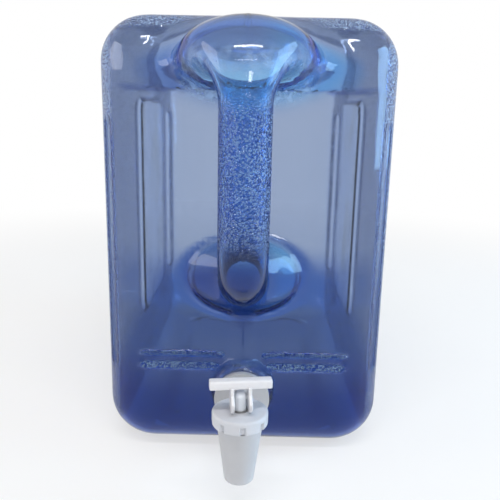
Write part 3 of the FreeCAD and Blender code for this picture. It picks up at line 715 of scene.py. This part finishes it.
# Turned pieces: a profile with rounded corners goes round an upright axis.
def softened(corners, radius, pieces=4, most=0.45):
    # rounds every corner of a closed profile, over no more than this share of the side next to it
    out = []
    for spots in zip(corners[-1:] + corners[:-1], corners, corners[1:] + corners[:1]):
        before, here, after = (np.array(spot, float) for spot in spots)
        legs = [before - here, after - here]
        reach = min(radius, *(np.linalg.norm(leg) * most for leg in legs))
        first, last = (here + leg / np.linalg.norm(leg) * reach for leg in legs)
        for share in np.linspace(0, 1, pieces + 1):
            out.append((1 - share) ** 2 * first + 2 * share * (1 - share) * here + share ** 2 * last)
    return out


def turnedPiece(name, profile, axis, count, pull=None):
    # pull gives how far in each point of a ring is drawn, from its radius, its level and its turns
    shell = Shell()
    turns = fullTurn * np.arange(count) / count
    rings = []
    for radius, level in profile:
        radii = np.full(count, float(radius))
        if pull:
            radii = radii - pull(radius, level, turns)
        levels = np.full(count, float(level))
        ring = np.stack([axis[0] + radii * np.cos(turns), axis[1] + radii * np.sin(turns), levels], 1)
        rings.append(shell.add(ring))
    for first, second in zip(rings, rings[1:] + rings[:1]):
        shell.band(first, second, False)
    piece = bpy.data.objects.new(name, shell.mesh(name))
    scene.collection.objects.link(piece)
    return piece


faucet = {"axis": (0, -140.4), "level": 40.5, "turn": 8}
bonnet = {"radius": 13.2, "skirt": 10.2, "hole": 3.08, "top": 13.1, "bottom": 6.4, "plate": 2, "round": 1.3,
          "lugs": 8, "lugHeight": 4, "lugRows": (-1.2, 0.6, 7), "lugEnd": (-0.5, 0.3), "count": 288,
          "gap": 2.2, "gapDepth": 1.6, "gapSoft": 0.3}


def makeBonnet():
    size = bonnet
    hole, skirt, radius = size["hole"], size["skirt"], size["radius"]
    top, bottom = faucet["level"] + size["top"], faucet["level"] + size["bottom"]
    under, lugTop = top - size["plate"], bottom + size["lugHeight"]
    corners = [(hole, top), (hole, under), (skirt, under), (skirt, bottom), (radius, bottom), (radius, top)]
    profile = softened(corners, size["round"])
    edge = max(range(len(profile)), key=lambda i: (profile[i][0], -profile[i][1]))
    low, high, rows = size["lugRows"]
    side = [np.array((radius, level)) for level in np.linspace(lugTop + low, lugTop + high, rows)]
    profile = profile[:edge + 1] + side + profile[edge + 1:]

    def pull(radius, level, turns):
        # gaps between the lugs
        if radius < size["skirt"] + size["gapDepth"]:
            return np.zeros(len(turns))
        step = fullTurn / size["lugs"]
        off = np.abs((turns - math.radians(faucet["turn"]) + step / 2) % step - step / 2) * size["radius"]
        half, soft = size["gap"] / 2, size["gapSoft"]
        ends = (lugTop + end for end in size["lugEnd"])
        return size["gapDepth"] * (1 - ease(off, half - soft, half + soft)) * (1 - ease(level, *ends))

    piece = turnedPiece("bonnetMoulded", profile[::-1], faucet["axis"], size["count"], pull)
    link(piece, finish["white_bonnet"], "bottle", "white_bonnet", "bonnet")


cap = {"axis": (0, 91.6), "radius": 27, "bore": 24.4, "low": 238.1, "inside": 250, "top": 252, "round": 1.5,
       "ribs": 64, "ribDepth": 0.55, "ribTop": 249.2, "ribFoot": 1.0, "ribEnds": 0.6, "ribClear": (1.3, 0.2),
       "dish": 21.5, "dishDepth": 0.7, "dishSlope": 1.2, "gateHole": 0.6, "count": 512}


def makeCap():
    size = cap
    radius, bore, low, top, inside = (size[word] for word in ("radius", "bore", "low", "top", "inside"))
    dishLevel, foot, ends = top - size["dishDepth"], low + size["ribFoot"], size["ribEnds"]
    levels = (foot, foot + ends, size["ribTop"] - ends, size["ribTop"])
    skirt = [np.array((radius, level)) for level in levels]
    gate, dish = size["gateHole"], size["dish"]
    corners = [(gate, inside), (bore, inside), (bore, low), (radius, low), (radius, top)]
    corners += [(dish + size["dishSlope"], top), (dish, dishLevel), (gate, dishLevel)]
    profile = softened(corners, size["round"])
    edge = max(range(len(profile)), key=lambda i: (profile[i][0] > radius - tiny, -profile[i][1]))
    profile = profile[:edge + 1] + skirt + profile[edge + 1:]
    clearLow, clearHigh = size["ribClear"]

    def pull(ringRadius, level, turns):
        # grip ribs
        if ringRadius < radius - tiny or not low + clearLow < level < size["ribTop"] - clearHigh:
            return np.zeros(len(turns))
        return size["ribDepth"] * (0.5 - 0.5 * np.cos(turns * size["ribs"]))

    piece = turnedPiece("capRibbed", profile[::-1], size["axis"], size["count"], pull)
    link(piece, finish["white_cap"], "cap", "white_cap", "screw_cap")


seal = {"radius": 3.55, "wire": 0.5, "level": 13.3, "sides": 12, "count": 64}


def makeSeal():
    # dark ring that wipes the stem where it leaves the bonnet
    level, wire = faucet["level"] + seal["level"], seal["wire"]
    turns = fullTurn * np.arange(seal["sides"]) / seal["sides"]
    profile = [(seal["radius"] + wire * math.cos(turn), level + wire * math.sin(turn)) for turn in turns]
    piece = turnedPiece("stemSeal", profile, faucet["axis"], seal["count"])
    link(piece, finish["cup_rubber"], "bottle", "cup_rubber")


lever = {"pin": 19.6, "camThrow": 2.6, "camRadius": 6.2, "camSteps": 28, "cheekInner": 3.3, "cheek": 1.6,
         "legHalf": 2.4, "legFoot": 0.45, "legSink": 1, "bar": (29, 5, 4.3), "barLevel": 5.1,
         "barEdge": (0.8, 4), "cheekEdge": (0.35, 2), "bevelFrom": 0.6, "sharpFrom": 40}


def plate(outline, low, high, width, segments):
    # an outline in y and z, given thickness along x, with rounded edges
    count = len(outline)
    points = [(x, *spot) for x in (low, high) for spot in outline]
    faces = [tuple(range(count))[::-1], tuple(range(count, 2 * count))]
    faces += [(i, (i + 1) % count, count + (i + 1) % count, count + i) for i in range(count)]
    mesh = bpy.data.meshes.new("plate")
    mesh.from_pydata([Vector(point) * mm for point in points], [], faces)
    form = bmesh.new()
    form.from_mesh(mesh)
    sharp = [edge for edge in form.edges if edge.calc_face_angle(0) > lever["bevelFrom"]]
    bmesh.ops.bevel(form, geom=sharp, offset=width * mm, segments=segments, affect="EDGES", profile=0.5)
    form.to_mesh(mesh)
    form.free()
    return mesh


def makeLever():
    size = lever
    reach, depth, height = size["bar"]
    cam, throw, low = size["camRadius"], size["camThrow"], size["barLevel"]
    arc = [math.pi + math.pi * i / size["camSteps"] for i in range(size["camSteps"] + 1)]
    cheek = [(cam * math.cos(turn) - throw, cam * math.sin(turn)) for turn in arc]
    near, far = size["legHalf"], -throw - size["legHalf"]
    foot, head = cam * size["legFoot"], low + size["legSink"]
    cheek += [(near, foot), (near, head), (far, head), (far, foot)]
    front, back = -throw / 2 - depth / 2, -throw / 2 + depth / 2
    bar = [(front, low), (back, low), (back, low + height), (front, low + height)]
    meshes = [plate(bar, -reach / 2, reach / 2, *size["barEdge"])]
    for side in (size["cheekInner"], -size["cheekInner"] - size["cheek"]):
        meshes.append(plate(cheek, side, side + size["cheek"], *size["cheekEdge"]))
    form = bmesh.new()
    for mesh in meshes:
        form.from_mesh(mesh)
        bpy.data.meshes.remove(mesh)
    turn = Matrix.Rotation(math.radians(faucet["turn"]), 4, "Z")
    spot = Vector((*faucet["axis"], faucet["level"] + size["pin"])) * mm
    bmesh.ops.transform(form, matrix=Matrix.Translation(spot) @ turn, verts=form.verts)
    bmesh.ops.recalc_face_normals(form, faces=form.faces)
    mesh = bpy.data.meshes.new("leverMoulded")
    form.to_mesh(mesh)
    form.free()
    mesh.polygons.foreach_set("use_smooth", np.ones(len(mesh.polygons), bool))
    mesh.set_sharp_from_angle(angle=math.radians(size["sharpFrom"]))
    piece = bpy.data.objects.new("leverMoulded", mesh)
    scene.collection.objects.link(piece)
    link(piece, finish["white_lever"], "lever", "white_lever", "lever")


makeBonnet()
makeCap()
makeSeal()
makeLever()
print("faucet and cap made")


# Return spring: one round wire, coiled round the faucet's axis.
spring = {"radius": 5, "wire": 0.45, "turns": 5, "low": 38.85, "high": 51.05, "axisY": -140.4,
          "perTurn": 40, "sides": 10, "lift": 1.8}


def tubeMesh(name, path, radius, sides):
    # a round tube along a path of points, closed at both ends
    path = np.array(path, float)
    ahead = np.gradient(path, axis=0)
    ahead /= np.linalg.norm(ahead, axis=1)[:, None]
    up = np.array([0, 0, 1.0])
    points, faces = [], []
    for spot, way in zip(path, ahead):
        side = np.cross(way, up)
        side /= np.linalg.norm(side)
        over = np.cross(side, way)
        for i in range(sides):
            turn = fullTurn * i / sides
            points.append(spot + radius * (math.cos(turn) * side + math.sin(turn) * over))
    for ring in range(len(path) - 1):
        here, there = ring * sides, (ring + 1) * sides
        for i in range(sides):
            after = (i + 1) % sides
            faces.append((here + i, here + after, there + after, there + i))
    faces.append(tuple(range(sides))[::-1])
    faces.append(tuple((len(path) - 1) * sides + i for i in range(sides)))
    mesh = bpy.data.meshes.new(name)
    mesh.from_pydata([Vector(point) * mm for point in points], [], faces)
    mesh.polygons.foreach_set("use_smooth", np.ones(len(mesh.polygons), bool))
    piece = bpy.data.objects.new(name, mesh)
    scene.collection.objects.link(piece)
    return piece


def makeSpring():
    size = spring
    count = size["turns"] * size["perTurn"]
    path = []
    for i in range(count + 1):
        turn = fullTurn * i / size["perTurn"]
        level = size["low"] + (size["high"] - size["low"]) * i / count
        across, along = size["radius"] * math.cos(turn), size["radius"] * math.sin(turn)
        path.append((across, size["axisY"] + along, level))
    piece = tubeMesh("coilSpring", path, size["wire"], size["sides"])
    link(piece, finish["spring_steel"], "bottle", "spring_steel", "return_spring")
    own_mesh(piece)


makeSpring()
print("spring made")

# Floor, light and camera.
studio = {
    "floorSize": 12, "floorShade": 0.93, "speck": (60.0, 2.0), "speckShade": 0.02,
    "nearBlend": (0.3, 0.8), "nearShare": 0.6,
    "roomLight": 0.42, "ceiling": 0.66, "ceilingFrom": (0.18, 0.6), "aim": (0, 0, 0.12),
    "lights": {
        "rightPanel": {"place": (1.0, -0.05, 0.40), "size": (0.5, 0.7), "power": 7,
                       "shade": (0.42, 0.72, 1.0)},
        "leftPanel": {"place": (-1.0, -0.10, 0.50), "size": (0.5, 0.5), "power": 2.2,
                      "shade": (1, 0.97, 0.94)},
        "frontPanel": {"place": (0.26, -1.1, 0.46), "size": (0.14, 0.3), "power": 1.8,
                       "shade": (1, 0.98, 0.95)},
        "lowStrip": {"place": (0.02, -0.85, 0.85), "size": (0.9, 0.014), "power": 0.9,
                     "shade": (1, 0.97, 0.94)},
        "highStrip": {"place": (0.02, -0.55, 1.15), "size": (0.9, 0.05), "power": 5.4,
                      "shade": (1, 1, 1)},
    },
}


def seen(wire):
    # one for what the eye sees straight, mirrored or through the plastic, nothing for light on surfaces
    rays = ("Is Camera Ray", "Is Glossy Ray", "Is Transmission Ray")
    straight, mirrored, through = (wire.make("ShaderNodeLightPath", out=word) for word in rays)
    return (straight + mirrored + through).limit(0.0, 1.0)


def addFloor():
    bpy.ops.mesh.primitive_plane_add(size=studio["floorSize"])
    floor = bpy.context.object
    floor.name = "floor"
    material, wire = newFinish("paleFloor")
    place = wire.make("ShaderNodeTexCoord", out="Object")
    away = wire.make("ShaderNodeVectorMath", {"operation": "LENGTH"}, {0: place}, out="Value")
    shade, speckShade = studio["floorShade"], studio["floorShade"] + studio["speckShade"]
    colour = wire.blend(wire.noise(place, *studio["speck"]), (shade,) * 3, (speckShade,) * 3)
    paper = wire.make("ShaderNodeBsdfDiffuse", {}, {"Color": colour})
    glow = wire.make("ShaderNodeEmission", {}, {"Color": (1, 1, 1, 1), "Strength": 1.0})
    far = studio["nearShare"] + away.limit(*studio["nearBlend"]) * (1 - studio["nearShare"])
    closeFinish(wire, wire.make("ShaderNodeMixShader", {}, {0: far * seen(wire), 1: paper, 2: glow}))
    floor.data.materials.append(material)


def addRoom():
    # white round about, duller overhead, so that edges that bend the view upwards show darker
    world = bpy.data.worlds.new("room")
    scene.world = world
    world.use_nodes = True
    world.node_tree.nodes.clear()
    wire = Wire(world.node_tree)
    way = wire.make("ShaderNodeTexCoord", out="Generated")
    rise = wire.make("ShaderNodeSeparateXYZ", {}, {0: way}, out="Z").limit(*studio["ceilingFrom"])
    straight = wire.make("ShaderNodeLightPath", out="Is Camera Ray")
    share = seen(wire)
    shown = 1 - rise * (1 - straight) * (1 - studio["ceiling"])
    strength = share * shown + (1 - share) * studio["roomLight"]
    light = wire.make("ShaderNodeBackground", {}, {"Color": (1, 1, 1, 1), "Strength": strength})
    wire.make("ShaderNodeOutputWorld", {}, {"Surface": light})


def addLight(name, lamp):
    data = bpy.data.lights.new(name, "AREA")
    data.color = lamp["shade"]
    data.shape = "RECTANGLE"
    data.size, data.size_y = lamp["size"]
    data.energy = lamp["power"]
    piece = bpy.data.objects.new(name, data)
    scene.collection.objects.link(piece)
    piece.location = lamp["place"]
    way = Vector(studio["aim"]) - Vector(lamp["place"])
    piece.rotation_euler = way.to_track_quat("-Z", "Y").to_euler()


addFloor()
addRoom()
for name, lamp in studio["lights"].items():
    addLight(name, lamp)

view = {"place": (0.0056, -0.3987, 0.1926), "pitch": 13.6, "yaw": -0.55, "roll": -1.19, "lens": 43.85,
        "sensor": 36, "clip": (0.01, 20)}


def addCamera():
    data = bpy.data.cameras.new("photoView")
    data.lens, data.sensor_width = view["lens"], view["sensor"]
    data.clip_start, data.clip_end = view["clip"]
    camera = bpy.data.objects.new("photoView", data)
    scene.collection.objects.link(camera)
    pitch, yaw, roll = (math.radians(view[word]) for word in ("pitch", "yaw", "roll"))
    forward = Vector((math.sin(yaw) * math.cos(pitch), math.cos(yaw) * math.cos(pitch), -math.sin(pitch)))
    right = Vector((math.cos(yaw), -math.sin(yaw), 0))
    down = forward.cross(right)
    imageRight = math.cos(roll) * right + math.sin(roll) * down
    imageUp = forward.cross(imageRight) * -1
    turn = Matrix((imageRight, imageUp, -forward)).transposed()
    camera.matrix_world = Matrix.Translation(view["place"]) @ turn.to_4x4()
    scene.camera = camera


addCamera()
print("floor, light and camera made")
